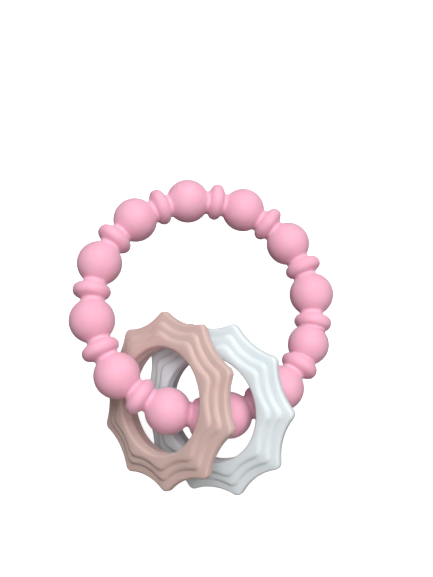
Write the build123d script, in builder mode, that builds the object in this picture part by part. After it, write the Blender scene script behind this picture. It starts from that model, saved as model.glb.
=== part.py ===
from build123d import *
import os
from math import asin, atan, cos, degrees, hypot, radians, sin, tan

os.makedirs("parts", exist_ok=True)

# A silicone teething ring: a strand of beads and discs closed into a circle,
# with two sun-shaped rings threaded on it. It lies on a table the way it is
# put down: the strand leans on the rings, and the rings lean on the strand.
# Sizes are in millimetres, angles in degrees.

# ---- Beaded strand -------------------------------------------------------
strand_r = 40.2        # radius of the circle through the bead centres
bead_d = 16.0
bead_count = 11        # moulded with the strand; the closure bead is one more
disc_d = 13.4          # lens-shaped disc between two beads
disc_rim_r = 2.4       # rounding of its rim
disc_slope = 30        # lean of its two sides, which get thicker inwards
neck_d = 8.6           # waist between a bead and a disc
neck_flare = 0.8       # the waist is this much thicker all round at both ends
neck_bury = 1.2        # and both ends run this far into the bead and the disc

# ---- Closure bead --------------------------------------------------------
closure_d = 14.8
closure_angle = -19.5  # where it sits on the strand, from +X towards +Y
seat_d = 10.0          # flat on the bead where the strand's end meets it
seat_gap = 0.05        # least distance from that flat to the last disc's side
stud_d = 4.8           # stud on each end of the strand, bonded in the bead
stud_l = 3.0
stud_play = 0.05       # radial room for the bond
stud_end_play = 0.3

# ---- Sun rings -----------------------------------------------------------
tooth_count = 10
bore_d = 36.0
bore_edge_r = 1.0      # rounding of both rims of the bore
ring_t = 8.0           # thickness of the innermost tier
tier_step = 1.2        # each tier outside it is this much lower on both faces
# Each tier, outermost first: reach out from the bore's wall at a tooth, reach
# between two teeth, rounding of the tooth, rounding of the tier's edge.
tiers = [
    (12.3, 9.3, 2.4, 0.7),
    (8.3, 5.9, 3.0, 0.6),
    (4.8, 3.1, 4.0, 0.6),
]
ring_play = 0.95       # room left where a leaning ring meets the beads
# Each ring: its angle along the strand, its roll about the strand, and the
# turn of its teeth.
ring_places = {
    "tan_sun_ring": (-108.0, 30.7, 28.2),
    "white_sun_ring": (-83.4, 16.1, 15.7),
}

# ---- How it lies ---------------------------------------------------------
tilt = 10.66           # slope of the strand
dip = 24.4             # direction in which the strand slopes down
centre_x = -0.18       # middle of the strand, from the middle of the whole
centre_y = 9.14
low_bead = 2           # this bead, counted up from the closure, is lowest

# ---- Values worked out from those above ----------------------------------
bead_r = bead_d / 2
closure_r = closure_d / 2
bore_r = bore_d / 2
neck_r = neck_d / 2

# A disc's side runs straight in from the rounded rim to the neck's own radius.
disc_edge = (
    disc_d / 2 - disc_rim_r + disc_rim_r * sin(radians(disc_slope)),
    disc_rim_r * cos(radians(disc_slope)),
)
disc_root = (neck_r, disc_edge[1] + (disc_edge[0] - neck_r) * tan(radians(disc_slope)))

# The strand's ends meet the closure bead on two flats. The last disc stands so
# far back that its inner side, which leans towards the flat, stays clear of it.
seat_depth = (closure_r**2 - (seat_d / 2) ** 2) ** 0.5
seat_angle = degrees(asin(seat_depth / strand_r))
end_stub = disc_root[1] * strand_r / (strand_r - neck_r) + seat_gap
end_angle = seat_angle + degrees(end_stub / strand_r)

# Beads and discs take turns at an even pitch, from the first disc to the last.
bead_pitch = (360 - 2 * end_angle) / bead_count
disc_angles = [closure_angle + end_angle + bead_pitch * i for i in range(bead_count + 1)]
bead_angles = [angle + bead_pitch / 2 for angle in disc_angles[:-1]]

# A waist is centred in the gap between a bead's surface and a disc's side.
neck_start = (bead_r**2 - neck_r**2) ** 0.5
neck_end = strand_r * radians(bead_pitch / 2) - disc_root[1]
neck_reach = (neck_end - neck_start) / 2 + neck_bury
neck_angle = degrees((neck_start + neck_end) / 2 / strand_r)
neck_angles = [angle + side * neck_angle for angle in bead_angles for side in (-1, 1)]

# A ring leans over until its bore meets the strand's widest swellings.
swell_r = max(bead_r, disc_d / 2)
bore_half_angle = atan(ring_t / 2 / bore_r)
ring_lean = degrees(asin((swell_r + ring_play) / hypot(bore_r, ring_t / 2)) + bore_half_angle)
ring_reach = bore_r * cos(radians(ring_lean)) + ring_t / 2 * sin(radians(ring_lean))
strand_bow = ring_reach**2 / (2 * strand_r)

# The strand's lowest bead touches the table.
centre_z = swell_r + strand_r * sin(radians(tilt)) * cos(radians(bead_angles[low_bead - 1] - dip))
strand_place = Pos(centre_x, centre_y, centre_z) * Rot(Z=dip) * Rot(Y=tilt) * Rot(Z=-dip)


def on_strand(angle, radius=strand_r):
    """A place on the strand: local X points outwards and local Y runs along it."""
    return strand_place * Rot(Z=angle) * Pos(X=radius)


def seat_place(side):
    """The flat where one end of the strand meets the closure bead, side -1 or 1."""
    return on_strand(closure_angle + side * seat_angle, strand_r * cos(radians(seat_angle)))


def ring_place(angle, roll):
    """The middle of a ring threaded at this angle; local Z is the ring's own axis."""
    slip = -strand_bow * sin(radians(roll)) / sin(radians(ring_lean))
    sag = strand_bow * cos(radians(roll))
    return on_strand(angle) * Rot(Y=roll) * Rot(X=ring_lean) * Pos(X=-sag, Y=slip)


# ---- Shapes that repeat along the strand ---------------------------------
with BuildPart() as disc:
    with BuildSketch(Plane.XY):
        with BuildLine():
            Polyline((0, -disc_root[1]), (disc_root[0], -disc_root[1]), (disc_edge[0], -disc_edge[1]))
            ThreePointArc((disc_edge[0], -disc_edge[1]), (disc_d / 2, 0), disc_edge)
            Polyline(disc_edge, disc_root, (0, disc_root[1]), (0, -disc_root[1]))
        make_face()
    revolve(axis=Axis.Y)

with BuildPart() as neck:
    with BuildSketch(Plane.XY):
        with BuildLine():
            flare_end = neck_r + neck_flare
            ThreePointArc((flare_end, -neck_reach), (neck_r, 0), (flare_end, neck_reach))
            Polyline((flare_end, neck_reach), (0, neck_reach), (0, -neck_reach), (flare_end, -neck_reach))
        make_face()
    revolve(axis=Axis.Y)

# ---- Beaded strand, one moulding -----------------------------------------
with BuildPart() as beaded_strand:
    with Locations(*[on_strand(angle) for angle in bead_angles]):
        Sphere(bead_r)
    with Locations(*[on_strand(angle) for angle in disc_angles]):
        add(disc.part)
    with Locations(*[on_strand(angle) for angle in neck_angles]):
        add(neck.part)
    # Each end: a short stub from the last disc to its flat, and the stud beyond it.
    for side in (-1, 1):
        seat = Plane(seat_place(side))
        away = Plane(origin=seat.origin, x_dir=seat.x_dir, z_dir=seat.y_dir * side)
        with BuildSketch(away):
            Circle(seat_d / 2)
        extrude(amount=end_stub)
        with BuildSketch(away):
            Circle(stud_d / 2)
        extrude(amount=-stud_l)
beaded_strand.part.label = "beaded_strand"
export_step(beaded_strand.part, "parts/beaded_strand.step")

# ---- Closure bead --------------------------------------------------------
with BuildPart() as closure_bead:
    with Locations(on_strand(closure_angle)):
        Sphere(closure_r)
    for side in (-1, 1):
        seat = Plane(seat_place(side))
        away = Plane(origin=seat.origin, x_dir=seat.x_dir, z_dir=seat.y_dir * side)
        split(bisect_by=away, keep=Keep.BOTTOM)
        with BuildSketch(away):
            Circle(stud_d / 2 + stud_play)
        extrude(amount=-stud_l - stud_end_play, mode=Mode.SUBTRACT)
closure_bead.part.label = "closure_bead"
export_step(closure_bead.part, "parts/closure_bead.step")


# ---- Sun rings -----------------------------------------------------------
def hollow_radius(tooth_r, root_r, tip_r):
    """Radius of the hollow arc that joins two rounded teeth without a corner."""
    centre = tooth_r - tip_r
    along = centre * cos(radians(180 / tooth_count))
    return (tip_r**2 - centre**2 - root_r**2 + 2 * along * root_r) / (2 * (root_r - along - tip_r))


def sun_outline(tooth_r, root_r, tip_r, turn):
    """A closed outline of rounded teeth and hollows, all in tangent arcs."""
    hollow_r = hollow_radius(tooth_r, root_r, tip_r)
    half_pitch = 180 / tooth_count
    for i in range(tooth_count):
        tip = Vector(tooth_r - tip_r, 0).rotate(Axis.Z, turn + 2 * half_pitch * i)
        before = Vector(root_r + hollow_r, 0).rotate(Axis.Z, turn + 2 * half_pitch * (i - 0.5))
        after = Vector(root_r + hollow_r, 0).rotate(Axis.Z, turn + 2 * half_pitch * (i + 0.5))
        following = Vector(tooth_r - tip_r, 0).rotate(Axis.Z, turn + 2 * half_pitch * (i + 1))
        start = tip + (before - tip).normalized() * tip_r
        crown = tip.normalized() * tooth_r
        end = tip + (after - tip).normalized() * tip_r
        root = after.normalized() * root_r
        restart = following + (after - following).normalized() * tip_r
        ThreePointArc(start, crown, end)
        ThreePointArc(end, root, restart)


def make_sun_ring(place, turn):
    """One ring: tiers that get thicker towards the bore, alike on both faces."""
    middle = Plane(place)
    ring_axis = Axis(middle.origin, middle.z_dir)
    with BuildPart() as ring:
        for i, (tooth_reach, root_reach, tip_r, edge_r) in enumerate(tiers):
            with BuildSketch(middle):
                with BuildLine():
                    sun_outline(bore_r + tooth_reach, bore_r + root_reach, tip_r, turn)
                make_face()
            extrude(amount=ring_t / 2 - tier_step * (len(tiers) - 1 - i), both=True)
            faces = ring.faces().sort_by(ring_axis)
            fillet(faces[0].edges() + faces[-1].edges(), radius=edge_r)
        with BuildSketch(middle):
            Circle(bore_r)
        extrude(amount=ring_t / 2, both=True, mode=Mode.SUBTRACT)
        faces = ring.faces().sort_by(ring_axis)
        fillet(faces[0].inner_wires().edges() + faces[-1].inner_wires().edges(), radius=bore_edge_r)
    return ring


for name, (angle, roll, turn) in ring_places.items():
    ring = make_sun_ring(ring_place(angle, roll), turn)
    ring.part.label = name
    export_step(ring.part, f"parts/{name}.step")
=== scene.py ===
# %% [markdown]
# # A silicone teething ring
# The object is a strand of beads closed into a circle, with two sun-shaped
# rings threaded on it. All of it is soft moulded silicone with a matt, powdery
# skin. The CAD model gives the sizes and the places of the four pieces. Here
# each piece is modelled again with the soft fillets, seams and skin that make
# it look like silicone.

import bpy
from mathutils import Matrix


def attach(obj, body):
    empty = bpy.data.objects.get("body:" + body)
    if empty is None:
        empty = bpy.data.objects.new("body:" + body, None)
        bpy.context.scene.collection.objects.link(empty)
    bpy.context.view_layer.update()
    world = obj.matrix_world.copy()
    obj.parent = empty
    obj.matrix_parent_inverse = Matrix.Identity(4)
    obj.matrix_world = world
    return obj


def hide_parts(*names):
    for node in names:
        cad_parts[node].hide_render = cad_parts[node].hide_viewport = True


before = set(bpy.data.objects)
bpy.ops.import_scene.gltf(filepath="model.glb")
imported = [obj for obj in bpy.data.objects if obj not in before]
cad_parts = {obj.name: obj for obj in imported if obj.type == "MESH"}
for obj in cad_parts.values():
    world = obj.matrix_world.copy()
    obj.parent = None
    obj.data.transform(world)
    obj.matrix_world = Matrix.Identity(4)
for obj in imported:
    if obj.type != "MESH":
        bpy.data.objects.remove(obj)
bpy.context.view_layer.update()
print("CAD nodes:", sorted(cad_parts))

# %% [markdown]
# ## Sizes
# Blender counts in metres and this object is small, so one millimetre gets a
# name of its own. Every size below is written as a number of these.

# %% Sizes of the strand
import bpy
import bmesh
import math
from mathutils import Matrix, Vector

mm = 0.001
strand_r = 40.2 * mm  # circle through the middles of the beads
bead_r = 8.0 * mm
bead_count = 11  # moulded with the strand; the closure bead is one more
closure_r = 7.4 * mm
seat_r = 5.0 * mm  # flat where an end of the strand meets the closure bead
end_stub = 3.15 * mm  # from that flat to the middle of the last disc
neck_r = 4.3 * mm  # waist between a bead and a disc
disc_r = 6.7 * mm
rim_r = 2.4 * mm  # rounding of a disc's rim
weld = 0.02 * mm  # points nearer than this are one point
print("outside of the strand:", round((strand_r + bead_r) * 2 / mm, 1), "mm")

# %% [markdown]
# ## Where the strand lies
# The strand is modelled flat, round the world's centre, because a circle that
# lies in the XY plane is easy to turn about Z. This matrix then tips it the way
# it leans on its two rings.

# %% Place of the strand
tilt = math.radians(10.66)
dip = math.radians(24.4)
strand_place = (
    Matrix.Translation(Vector((-0.18, 9.14, 15.212)) * mm)
    @ Matrix.Rotation(dip, 4, "Z")
    @ Matrix.Rotation(tilt, 4, "Y")
    @ Matrix.Rotation(-dip, 4, "Z")
)
print("middle of the strand:", [round(x / mm, 2) for x in strand_place.translation])

# %% [markdown]
# ## Four small helpers
# An operator acts on whatever is selected. So each step starts by clearing the
# selection, and picks its edges by a test on where they are. A piece that is
# moved has its new place written into its mesh, so its own origin stays at the
# world's centre.

# %% Helpers for selecting and placing
def clear():
    """Leaves nothing selected in object mode."""
    if bpy.context.object and bpy.context.object.mode == "EDIT":
        bpy.ops.object.mode_set(mode="OBJECT")
    bpy.ops.object.select_all(action="DESELECT")


def pick(test):
    """In edit mode, selects the edges whose two ends both pass the test."""
    bpy.ops.mesh.select_all(action="DESELECT")
    mesh = bmesh.from_edit_mesh(bpy.context.object.data)
    for edge in mesh.edges:
        if all(test(v.co) for v in edge.verts):
            edge.select_set(True)
    bmesh.update_edit_mesh(bpy.context.object.data)


def place(piece, matrix):
    """Puts the piece there and writes the place into its mesh."""
    clear()
    piece.select_set(True)
    bpy.context.view_layer.objects.active = piece
    piece.matrix_world = matrix @ piece.matrix_world
    bpy.ops.object.transform_apply(location=True, rotation=True, scale=True)


def use(piece):
    """Makes this the one selected object."""
    clear()
    piece.select_set(True)
    bpy.context.view_layer.objects.active = piece


# %% [markdown]
# ## The outline of one bead and half a disc
# Along the strand, a bead narrows to a waist and the waist widens to a disc
# shaped like a lens. Where they meet, a mould leaves a hollow fillet. The
# outline is made of arcs that touch without a corner: the ball, the fillet, the
# second fillet and the rim. A list of points on arcs is easy to read, and every
# bead of the strand can use it.

# %% Arcs of the outline
ball_fillet = 0.9 * mm
disc_fillet = 0.7 * mm
flank = math.radians(30)  # lean of a disc's side


def arc(centre, radius, start, end, steps):
    """Points on an arc, from start to end in radians."""
    angles = [start + (end - start) * i / steps for i in range(steps + 1)]
    return [(centre[0] + radius * math.cos(a), centre[1] + radius * math.sin(a)) for a in angles]


def outline(bead, half_pitch):
    """Points (distance along, radius) from the middle of a bead to the middle of a disc."""
    fillet_x = math.sqrt((bead + ball_fillet) ** 2 - (neck_r + ball_fillet) ** 2)
    meet = math.atan2(neck_r + ball_fillet, fillet_x)
    rim = (half_pitch, disc_r - rim_r)
    # the flank leaves the rim's arc at this angle and runs down to the waist
    edge = (rim[0] - rim_r * math.cos(flank), rim[1] + rim_r * math.sin(flank))
    foot_x = edge[0] - (edge[1] - neck_r) * math.tan(flank)
    hollow_x = foot_x - disc_fillet * math.tan((math.pi / 2 - flank) / 2)
    turn = math.pi / 2 - flank
    points = arc((0, 0), bead, math.pi / 2, meet, 12)
    points += arc((fillet_x, neck_r + ball_fillet), ball_fillet, meet + math.pi, math.pi * 1.5, 5)[1:]
    points += arc((hollow_x, neck_r + disc_fillet), disc_fillet, -math.pi / 2, -math.pi / 2 + turn, 5)
    points += arc(rim, rim_r, math.pi - flank, math.pi / 2, 7)
    return points


seat_depth = math.sqrt(closure_r**2 - seat_r**2)
seat_angle = math.asin(seat_depth / strand_r)
end_angle = seat_angle + end_stub / strand_r
bead_pitch = (2 * math.pi - 2 * end_angle) / bead_count
print("bead pitch:", round(math.degrees(bead_pitch), 2), "degrees")
print("points in the outline:", len(outline(bead_r, strand_r * bead_pitch / 2)))

# %% [markdown]
# ## One bead with its two half discs
# This stretch of the strand is bent, so spinning the outline round a straight
# axis would not fit the circle. Instead one ring of points is drawn round the
# bead's middle, and is extruded again and again: each time it is turned a
# little about the strand's own centre and scaled to the next radius. That is
# how a hand would sweep a tube of changing width round a circle.

# %% Sweep half a pitch
ball_end = 7.2 * mm
ease = 2.2 * mm  # past the ball, the middles ease back onto the strand's circle


def sweep(points, name):
    """Extrudes a ring of points through every section of the outline."""
    clear()
    bpy.ops.mesh.primitive_circle_add(
        vertices=56, radius=points[0][1], location=(strand_r, 0, 0), rotation=(math.pi / 2, 0, 0)
    )
    tube = bpy.context.object
    tube.name = name
    bpy.ops.object.transform_apply(location=True, rotation=True, scale=True)
    bpy.ops.object.mode_set(mode="EDIT")
    bpy.ops.mesh.select_mode(type="EDGE")
    bpy.ops.mesh.select_all(action="SELECT")
    angle, middle, radius = 0.0, strand_r, points[0][1]
    for along, next_radius in points[1:]:
        next_angle = along / strand_r
        # a ball's sections by planes through the strand's axis sit a little inward
        inside = 1 - min(1.0, max(0.0, (along - ball_end) / ease))
        next_middle = strand_r * (1 - inside * (1 - math.cos(next_angle)))
        centre = Vector((middle * math.cos(angle), middle * math.sin(angle), 0))
        bpy.ops.mesh.extrude_edges_indiv()
        bpy.ops.transform.resize(value=[next_radius / radius] * 3, center_override=centre)
        outwards = Vector((math.cos(angle), math.sin(angle), 0)) * (next_middle - middle)
        bpy.ops.transform.translate(value=outwards)
        bpy.ops.transform.rotate(value=-(next_angle - angle), orient_axis="Z", center_override=(0, 0, 0))
        angle, middle, radius = next_angle, next_middle, next_radius
    bpy.ops.object.mode_set(mode="OBJECT")
    return tube


half = sweep(outline(bead_r, strand_r * bead_pitch / 2), "bead_half")
print("half a pitch:", len(half.data.polygons), "faces")

# %% [markdown]
# ## The other half of the pitch
# The other side of the bead is the same shape. A Mirror modifier copies it, and
# is applied at once, because the strand is joined from finished meshes. Its
# merge distance is far below the size of the smallest fillet, as the default
# would weld neighbouring points of an object this small.

# %% Mirror it to a whole pitch
use(half)
mirror = half.modifiers.new("other half", "MIRROR")
mirror.use_axis = (False, True, False)
mirror.merge_threshold = weld
bpy.ops.object.modifier_apply(modifier=mirror.name)
print("one pitch:", len(half.data.polygons), "faces")

# %% [markdown]
# ## Eleven beads round the circle
# The pitch is copied eleven times, each copy turned one pitch further, and the
# copies are joined. The rings of points in the middle of the discs then lie on
# each other, and are merged, so that the strand is one skin.

# %% Copy and join
closure_angle = math.radians(-19.5)  # where the closure bead will sit
first_angle = closure_angle + end_angle + bead_pitch / 2
copies = []
for i in range(bead_count):
    copy = half.copy()
    copy.data = half.data.copy()
    bpy.context.collection.objects.link(copy)
    place(copy, Matrix.Rotation(first_angle + bead_pitch * i, 4, "Z"))
    copies.append(copy)
bpy.data.objects.remove(half)
clear()
for copy in copies:
    copy.select_set(True)
bpy.context.view_layer.objects.active = copies[0]
bpy.ops.object.join()
strand = bpy.context.object
strand.name = "pink_strand"
bpy.ops.object.mode_set(mode="EDIT")
bpy.ops.mesh.select_all(action="SELECT")
bpy.ops.mesh.remove_doubles(threshold=weld)
bpy.ops.object.mode_set(mode="OBJECT")
print("open strand:", len(strand.data.polygons), "faces")

# %% [markdown]
# ## The two ends of the strand
# The strand is moulded open and closed later by one more bead. Each end is the
# other side of the last disc, cut flat where it meets that bead, with a stud in
# its middle that goes into the bead. The open rim is extruded like the rest,
# down the disc's flank to the flat, then closed with the stud.

# %% Model both ends
def at_angle(angle, radius=strand_r):
    """A point of the strand's circle, or of one with another radius."""
    return Vector((radius * math.cos(angle), radius * math.sin(angle), 0))


use(strand)
bpy.ops.object.mode_set(mode="EDIT")
bpy.ops.mesh.select_mode(type="VERT")
stud_r = 2.4 * mm
stud_l = 3.0 * mm
# the far side of the last disc: its rim's arc, then a hollow that eases into the stub
flank_points = arc((0, disc_r - rim_r), rim_r, math.pi / 2, flank, 6)[1:]
flank_points += [(2.30 * mm, 5.14 * mm), (2.65 * mm, 5.02 * mm), (end_stub, seat_r)]
for side in (-1, 1):
    rim_angle = closure_angle + side * end_angle
    rim_normal = at_angle(rim_angle + math.pi / 2, 1)
    middle = at_angle(rim_angle)
    # the open rim lies in one plane through the strand's axis
    pick(lambda co: abs((co - middle).dot(rim_normal)) < weld and (co - middle).length < disc_r + rim_r)
    angle, radius = rim_angle, disc_r
    for towards, next_radius in flank_points:
        next_angle = rim_angle - side * towards / strand_r
        bpy.ops.mesh.extrude_edges_indiv()
        bpy.ops.transform.resize(value=[next_radius / radius] * 3, center_override=at_angle(angle))
        bpy.ops.transform.rotate(value=-(next_angle - angle), orient_axis="Z", center_override=(0, 0, 0))
        angle, radius = next_angle, next_radius
    # the flat, the stud and its end
    bpy.ops.mesh.extrude_edges_indiv()
    bpy.ops.transform.resize(value=[stud_r / radius] * 3, center_override=at_angle(angle))
    bpy.ops.mesh.extrude_edges_indiv()
    bpy.ops.transform.translate(value=at_angle(closure_angle + math.pi / 2, 1) * (-side * stud_l))
    bpy.ops.mesh.edge_face_add()
bpy.ops.mesh.select_all(action="SELECT")
bpy.ops.mesh.normals_make_consistent(inside=False)
bpy.ops.object.mode_set(mode="OBJECT")
bpy.ops.object.shade_smooth_by_angle(angle=math.radians(50))
place(strand, strand_place)
print("strand:", len(strand.data.polygons), "faces; box:", [round(x / mm, 1) for x in strand.dimensions])

# %% [markdown]
# ## The closure bead
# One bead is a separate moulding. It has a flat on each side where the strand's
# ends meet it, so the joint shows as a sharp crease with no fillet. A ball is
# cut by two planes, each cut is filled, and its edge is rounded a little.

# %% Cut a ball on two sides
seat_edge = 0.25 * mm
clear()
bpy.ops.mesh.primitive_uv_sphere_add(segments=64, ring_count=32, radius=closure_r)
closure = bpy.context.object
closure.name = "pink_closure_bead"
bpy.ops.object.mode_set(mode="EDIT")
for side in (-1, 1):
    seat_middle = at_angle(side * seat_angle, strand_r * math.cos(seat_angle)) - at_angle(0)
    seat_normal = at_angle(side * seat_angle + math.pi / 2, side)
    bpy.ops.mesh.select_all(action="SELECT")
    bpy.ops.mesh.bisect(
        plane_co=seat_middle, plane_no=seat_normal, use_fill=True, clear_outer=True, clear_inner=False
    )
    bpy.ops.mesh.bevel(offset=seat_edge, segments=3)
bpy.ops.object.mode_set(mode="OBJECT")
bpy.ops.object.shade_smooth_by_angle(angle=math.radians(50))
place(closure, strand_place @ Matrix.Rotation(closure_angle, 4, "Z") @ Matrix.Translation((strand_r, 0, 0)))
print("closure bead:", len(closure.data.polygons), "faces")

# %% [markdown]
# ## The outline of a sun ring
# Each tier of the ring is a star with ten rounded teeth and ten hollows. One
# point is spun round the middle of a tooth's tip and then round the middle of a
# hollow, which draws two arcs that touch. One tooth is drawn like this and then
# repeated round the ring.

# %% Draw one tier's outline
tooth_count = 10
half_tooth = math.pi / tooth_count


def sun_loop(tooth_r, root_r, tip_r, height, name):
    """A closed loop of edges: a rounded star at this height."""
    along = (tooth_r - tip_r) * math.cos(half_tooth)
    hollow_r = (tip_r**2 - (tooth_r - tip_r) ** 2 - root_r**2 + 2 * along * root_r) / (
        2 * (root_r - along - tip_r)
    )
    tip = Vector((tooth_r - tip_r, 0, height))
    hollow = Vector((math.cos(half_tooth), math.sin(half_tooth), 0)) * (root_r + hollow_r)
    hollow.z = height
    # angle of the line from the tip's middle to the hollow's middle
    lean = math.atan2(hollow.y - tip.y, hollow.x - tip.x)
    clear()
    # a small plane merged to a point gives the single vertex to spin
    bpy.ops.mesh.primitive_plane_add(size=mm, location=(tooth_r, 0, height))
    loop = bpy.context.object
    loop.name = name
    bpy.ops.object.transform_apply(location=True, rotation=True, scale=True)
    bpy.ops.object.mode_set(mode="EDIT")
    bpy.ops.mesh.select_mode(type="VERT")
    bpy.ops.mesh.select_all(action="SELECT")
    bpy.ops.mesh.merge(type="CENTER")
    bpy.ops.mesh.spin(steps=5, angle=-lean, center=tip, axis=(0, 0, 1))
    bpy.ops.mesh.spin(steps=7, angle=lean - half_tooth, center=hollow, axis=(0, 0, 1))
    bpy.ops.object.mode_set(mode="OBJECT")
    # the half tooth is mirrored to a whole one
    mirror = loop.modifiers.new("other side of the tooth", "MIRROR")
    mirror.use_axis = (False, True, False)
    mirror.merge_threshold = weld
    bpy.ops.object.modifier_apply(modifier=mirror.name)
    bpy.ops.object.mode_set(mode="EDIT")
    bpy.ops.mesh.select_all(action="SELECT")
    bpy.ops.mesh.spin(
        steps=tooth_count - 1,
        dupli=True,
        angle=-2 * math.pi * (tooth_count - 1) / tooth_count,
        center=(0, 0, 0),
        axis=(0, 0, 1),
    )
    bpy.ops.mesh.select_all(action="SELECT")
    bpy.ops.mesh.remove_doubles(threshold=weld)
    bpy.ops.object.mode_set(mode="OBJECT")
    return loop


# %% [markdown]
# ## Tiers of the ring
# Both faces of the ring step up towards the hole in three tiers. Every tier
# gets a loop at its foot and a loop at its top, and neighbouring loops are
# bridged. Only half of the ring's thickness is modelled, because the other
# half is its mirror image.

# %% Stack the loops
bore_r = 18.0 * mm
ring_t = 8.0 * mm
# each tier: radius at a tooth and between two, rounding of the tooth, then how
# far the step's foot stands out from its top, and the heights of foot and top
tiers = [
    (30.3 * mm, 27.3 * mm, 2.4 * mm, 0.0, 0.0, 1.6 * mm),
    (25.9 * mm, 23.5 * mm, 3.0 * mm, 0.9 * mm, 1.75 * mm, 2.85 * mm),
    (22.4 * mm, 20.7 * mm, 4.0 * mm, 0.9 * mm, 2.95 * mm, 4.0 * mm),
]
names, loops = [], []
for i, (tooth_r, root_r, tip_r, spread, foot, top) in enumerate(tiers):
    for end, grow, height in (("foot", spread, foot), ("top", 0, top)):
        names.append(f"tier_{i}_{end}")
        loops.append(sun_loop(tooth_r + grow, root_r + grow, tip_r, height, names[-1]))
        everything = list(range(len(loops[-1].data.vertices)))
        loops[-1].vertex_groups.new(name=names[-1]).add(everything, 1.0, "REPLACE")
clear()
for loop in loops:
    loop.select_set(True)
bpy.context.view_layer.objects.active = loops[0]
bpy.ops.object.join()
ring = bpy.context.object
ring.name = "sun_ring"
print("loops:", names)

# %% [markdown]
# ## Bridging
# Each loop's points were put in a vertex group as it was drawn, so a loop can be
# picked again by name after all of them are joined. Two neighbours at a time
# are bridged. The foot of a step is a hair higher than the top below it, as a
# bridge between loops at one height may pair the wrong points.

# %% Bridge neighbouring loops

def pick_loops(*wanted):
    """In edit mode, selects the loops with these names."""
    bpy.ops.mesh.select_all(action="DESELECT")
    for name in wanted:
        ring.vertex_groups.active_index = ring.vertex_groups[name].index
        bpy.ops.object.vertex_group_select()


bpy.ops.object.mode_set(mode="EDIT")
bpy.ops.mesh.select_mode(type="VERT")
for lower, upper in zip(names, names[1:]):
    pick_loops(lower, upper)
    bpy.ops.mesh.bridge_edge_loops()
bpy.ops.object.mode_set(mode="OBJECT")
print("tiers:", len(ring.data.polygons), "faces")

# %% [markdown]
# ## The bore and its parting line
# The top loop is extruded, made round with To Sphere and scaled to the hole's
# radius, then extruded down the wall. Where the two halves of the mould met, a
# hair of silicone stands out of the wall, and it catches the light.

# %% Draw the bore
parting_half = 0.14 * mm  # half its width
parting_r = 0.10 * mm  # how far it stands out
use(ring)
bpy.ops.object.mode_set(mode="EDIT")
pick_loops("tier_2_top")
bpy.ops.mesh.extrude_edges_indiv()
bpy.ops.object.vertex_group_remove_from(use_all_groups=True)
bpy.ops.transform.tosphere(value=1, center_override=(0, 0, ring_t / 2))
mesh = bmesh.from_edit_mesh(ring.data)
reach = [Vector((v.co.x, v.co.y)).length for v in mesh.verts if v.select]
bpy.ops.transform.resize(value=(bore_r / reach[0], bore_r / reach[0], 1), center_override=(0, 0, ring_t / 2))
ring.vertex_groups.active_index = ring.vertex_groups.new(name="bore_rim").index
bpy.ops.object.vertex_group_assign()
bpy.ops.mesh.extrude_edges_indiv()
bpy.ops.object.vertex_group_remove_from(use_all_groups=True)
bpy.ops.transform.translate(value=(0, 0, parting_half - ring_t / 2))
bpy.ops.mesh.extrude_edges_indiv()
bpy.ops.transform.translate(value=(0, 0, -parting_half))
inward = (bore_r - parting_r) / bore_r
bpy.ops.transform.resize(value=(inward, inward, 1), center_override=(0, 0, 0))
bpy.ops.object.mode_set(mode="OBJECT")
print("bore:", round(2 * bore_r / mm, 1), "mm, scaled from", round(2 * reach[0] / mm, 1), "mm")

# %% [markdown]
# ## Soft edges
# So far every step is a hard corner. Bevel rounds the convex corners and, on
# the loops at the foot of a step, lays a hollow fillet. One Bevel modifier does
# them all at once, and takes its width on each loop from that loop's weight.

# %% Round every edge
use(ring)
bpy.ops.object.mode_set(mode="EDIT")
# weights of the 1 mm bevel
for name, weight in (
    ("bore_rim", 1.0),
    ("tier_2_top", 0.7),
    ("tier_2_foot", 0.3),
    ("tier_1_top", 0.7),
    ("tier_1_foot", 0.3),
    ("tier_0_top", 1.1),
):
    pick_loops(name)
    bpy.ops.transform.edge_bevelweight(value=weight)
bpy.ops.object.mode_set(mode="OBJECT")
bevel = ring.modifiers.new("round edges", "BEVEL")
bevel.limit_method = "WEIGHT"
bevel.width = 1.0 * mm
bevel.segments = 4
bevel.use_clamp_overlap = False
bpy.ops.object.modifier_apply(modifier=bevel.name)
print("rounded:", len(ring.data.polygons), "faces")

# %% [markdown]
# ## The other face of the ring
# Both faces are alike, so the half is mirrored across the plane that cuts the
# bore in two, and smooth shading leaves only the sharpest creases visible.

# %% Mirror the other face
use(ring)
mirror = ring.modifiers.new("other face", "MIRROR")
mirror.use_axis = (False, False, True)
mirror.merge_threshold = weld
bpy.ops.object.modifier_apply(modifier=mirror.name)
bpy.ops.object.mode_set(mode="EDIT")
bpy.ops.mesh.select_all(action="SELECT")
bpy.ops.mesh.normals_make_consistent(inside=False)
bpy.ops.object.mode_set(mode="OBJECT")
bpy.ops.object.shade_smooth_by_angle(angle=math.radians(60))
print("ring:", len(ring.data.polygons), "faces")

# %% [markdown]
# ## Two rings on the strand
# A threaded ring leans until its hole meets the beads on both sides. The place
# of each one is built up in turns: along the strand, rolled about it, leaned,
# moved in by the bow of the strand inside the hole, and then turned about its
# own axis. The second ring is a copy with a mesh of its own.

# %% Place both rings
ring_play = 0.95 * mm
lean = math.asin((bead_r + ring_play) / math.hypot(bore_r, ring_t / 2)) + math.atan(ring_t / 2 / bore_r)
bow = (bore_r * math.cos(lean) + ring_t / 2 * math.sin(lean)) ** 2 / (2 * strand_r)


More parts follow.
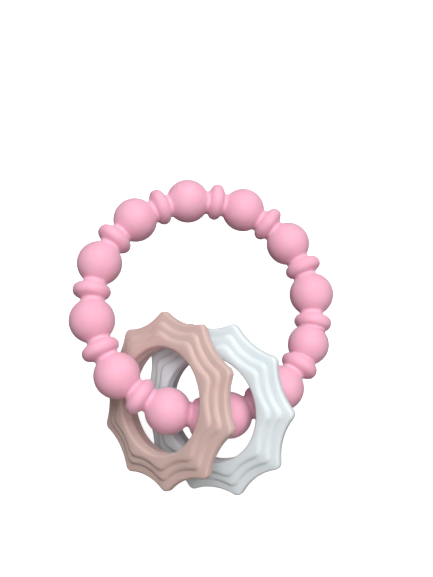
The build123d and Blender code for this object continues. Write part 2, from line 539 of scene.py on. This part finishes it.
def ring_place(along, roll, turn):
    """Where a ring lies: its angle along the strand, its roll about it and its own turn."""
    roll = math.radians(roll)
    return (
        strand_place
        @ Matrix.Rotation(math.radians(along), 4, "Z")
        @ Matrix.Translation((strand_r, 0, 0))
        @ Matrix.Rotation(roll, 4, "Y")
        @ Matrix.Rotation(lean, 4, "X")
        @ Matrix.Translation((-bow * math.cos(roll), -bow * math.sin(roll) / math.sin(lean), 0))
        @ Matrix.Rotation(math.radians(turn), 4, "Z")
    )


white_ring = ring.copy()
white_ring.data = ring.data.copy()
bpy.context.collection.objects.link(white_ring)
white_ring.name = "white_ring"
ring.name = "tan_ring"
place(ring, ring_place(-108.0, 30.7, 28.2))
place(white_ring, ring_place(-83.4, 16.1, 15.7))
for piece in (ring, white_ring):
    print(piece.name, [round(x / mm, 1) for x in piece.dimensions])

# %% [markdown]
# ## Silicone
# Matt silicone has a broad, weak highlight and a little powder on it, and light
# goes a short way into it, which softens every crease. The three colours share
# one recipe: Principled with a rough surface, some subsurface scattering and
# some sheen. Large, faint clouds vary the colour, because no moulding is quite
# even, and fine noise in the bump gives the powdery grain. All the noise is in
# Object coordinates, so that it stays on a piece when the piece moves. The white
# scatters light the deepest, which nearly fills the creases of its tiers.

# %% Materials
def silicone(name, shade, light, scatter, depth, grain):
    """Matt silicone: two base colours, how far red, green and blue scatter, and its grain."""
    made = bpy.data.materials.new(name)
    made.use_nodes = True
    nodes, links = made.node_tree.nodes, made.node_tree.links
    shader = nodes["Principled BSDF"]
    shader.inputs["Roughness"].default_value = 0.55
    shader.inputs["IOR"].default_value = 1.41
    shader.inputs["Specular IOR Level"].default_value = 0.35
    shader.inputs["Subsurface Weight"].default_value = 0.6
    shader.inputs["Subsurface Radius"].default_value = scatter
    shader.inputs["Subsurface Scale"].default_value = depth
    shader.inputs["Sheen Weight"].default_value = 0.15
    shader.inputs["Sheen Roughness"].default_value = 0.5
    where = nodes.new("ShaderNodeTexCoord")
    cloud = nodes.new("ShaderNodeTexNoise")
    cloud.inputs["Scale"].default_value = 60
    cloud.inputs["Detail"].default_value = 3
    links.new(where.outputs["Object"], cloud.inputs["Vector"])
    ramp = nodes.new("ShaderNodeValToRGB")
    ramp.color_ramp.elements[0].position = 0.35
    ramp.color_ramp.elements[0].color = (*shade, 1)
    ramp.color_ramp.elements[1].position = 0.65
    ramp.color_ramp.elements[1].color = (*light, 1)
    links.new(cloud.outputs["Fac"], ramp.inputs["Fac"])
    links.new(ramp.outputs["Color"], shader.inputs["Base Color"])
    fine = nodes.new("ShaderNodeTexNoise")
    fine.inputs["Scale"].default_value = 2600
    fine.inputs["Detail"].default_value = 4
    links.new(where.outputs["Object"], fine.inputs["Vector"])
    bump = nodes.new("ShaderNodeBump")
    bump.inputs["Strength"].default_value = grain
    bump.inputs["Distance"].default_value = 0.05 * mm
    links.new(fine.outputs["Fac"], bump.inputs["Height"])
    links.new(bump.outputs["Normal"], shader.inputs["Normal"])
    return made


pink = silicone(
    "pink silicone",
    shade=(0.80, 0.42, 0.55),
    light=(0.83, 0.45, 0.58),
    scatter=(1.0, 0.3, 0.3),
    depth=0.8 * mm,
    grain=0.25,
)
tan = silicone(
    "tan silicone",
    shade=(0.59, 0.44, 0.41),
    light=(0.63, 0.47, 0.44),
    scatter=(1.0, 0.6, 0.5),
    depth=0.5 * mm,
    grain=0.25,
)
white = silicone(
    "white silicone",
    shade=(0.66, 0.74, 0.77),
    light=(0.69, 0.77, 0.80),
    scatter=(0.8, 0.9, 1.0),
    depth=3.5 * mm,
    grain=0.2,
)
for piece, finish in ((strand, pink), (closure, pink), (ring, tan), (white_ring, white)):
    piece.data.materials.clear()
    piece.data.materials.append(finish)
    print(piece.name, "is", finish.name)

# %% [markdown]
# ## Which body carries each piece
# A finished piece rides on a body of the CAD model, takes the place of a CAD
# node, and has one of the three material slots.

# %% Say what each piece is
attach(strand, "strand")
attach(closure, "strand")
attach(ring, "tan_ring")
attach(white_ring, "white_ring")
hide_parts("beaded_strand")
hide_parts("closure_bead")
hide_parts("tan_sun_ring")
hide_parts("white_sun_ring")

# %% [markdown]
# ## A white table
# The floor glows a little, so that shadows on it nearly vanish as they do on
# white paper in strong light. It doesn't light the object from below, since the
# undersides of the beads would turn pale. A ring that has travelled to the far
# side of the strand hangs lower than the beads, so the table is set that much
# lower, and cuts nothing off at any pose.

# %% Floor
hang = 17 * mm
clear()
bpy.ops.mesh.primitive_plane_add(size=4, location=(0, 0, -hang))
floor = bpy.context.object
floor.name = "floor"
paper = bpy.data.materials.new("pale paper")
paper.use_nodes = True
sockets = paper.node_tree.nodes["Principled BSDF"].inputs
sockets["Base Color"].default_value = (0.9, 0.9, 0.9, 1)
sockets["Roughness"].default_value = 0.9
sockets["Emission Color"].default_value = (1, 1, 1, 1)
sockets["Emission Strength"].default_value = 0.8
floor.data.materials.append(paper)
floor.visible_diffuse = False
floor.visible_glossy = False
print("floor:", round(-hang / mm), "mm")

# %% [markdown]
# ## Soft studio light
# One large softbox stands behind the object, high up and a little to the right,
# so that every bead is brightest at the back and darker at the front. A weaker
# one near the camera opens the shadows, and a small warm reflector in front
# tints the undersides. Each lamp is turned towards the object by tracking.

# %% Lights
aim = Vector((0, 0, 15 * mm))  # about the middle of the object


def lamp(name, size, power, place_at, colour=(1, 1, 1)):
    """Adds a round area light, size across in metres and power in watts, turned to the object."""
    clear()
    bpy.ops.object.light_add(type="AREA", location=place_at)
    light = bpy.context.object
    light.name = name
    light.data.shape = "DISK"
    light.data.size = size
    light.data.energy = power
    light.data.color = colour
    light.rotation_euler = (aim - Vector(place_at)).to_track_quat("-Z", "Y").to_euler()
    print(name, "at", round((Vector(place_at) - aim).length, 2), "m from the object")


lamp("softbox", 0.8, 9.6, (0.11, 0.44, 0.90))
lamp("front fill", 0.7, 3.6, (0.08, -0.10, 0.88), (1.0, 0.95, 0.93))
lamp("reflector", 0.6, 0.6, (0.35, -0.75, 0.35), (1.0, 0.85, 0.80))
world = bpy.data.worlds.new("room")
bpy.context.scene.world = world
world.use_nodes = True
world.node_tree.nodes["Background"].inputs["Color"].default_value = (1.0, 0.84, 0.80, 1)
world.node_tree.nodes["Background"].inputs["Strength"].default_value = 0.10

# %% [markdown]
# ## The camera
# It looks down almost straight, from 26 cm above the near half of the object.
# So close, the clip start has to be well under the default.

# %% Camera
bpy.ops.object.camera_add(
    location=(6.1 * mm, -40.25 * mm, 261.3 * mm), rotation=[math.radians(a) for a in (12.637, 0.412, 0.342)]
)
camera = bpy.context.object
camera.name = "camera"
camera.data.sensor_width = 36
camera.data.lens = 43.67
camera.data.clip_start = 10 * mm
bpy.context.scene.camera = camera
bpy.context.scene.view_settings.view_transform = "Standard"
print("field of view:", round(math.degrees(camera.data.angle), 1), "degrees")
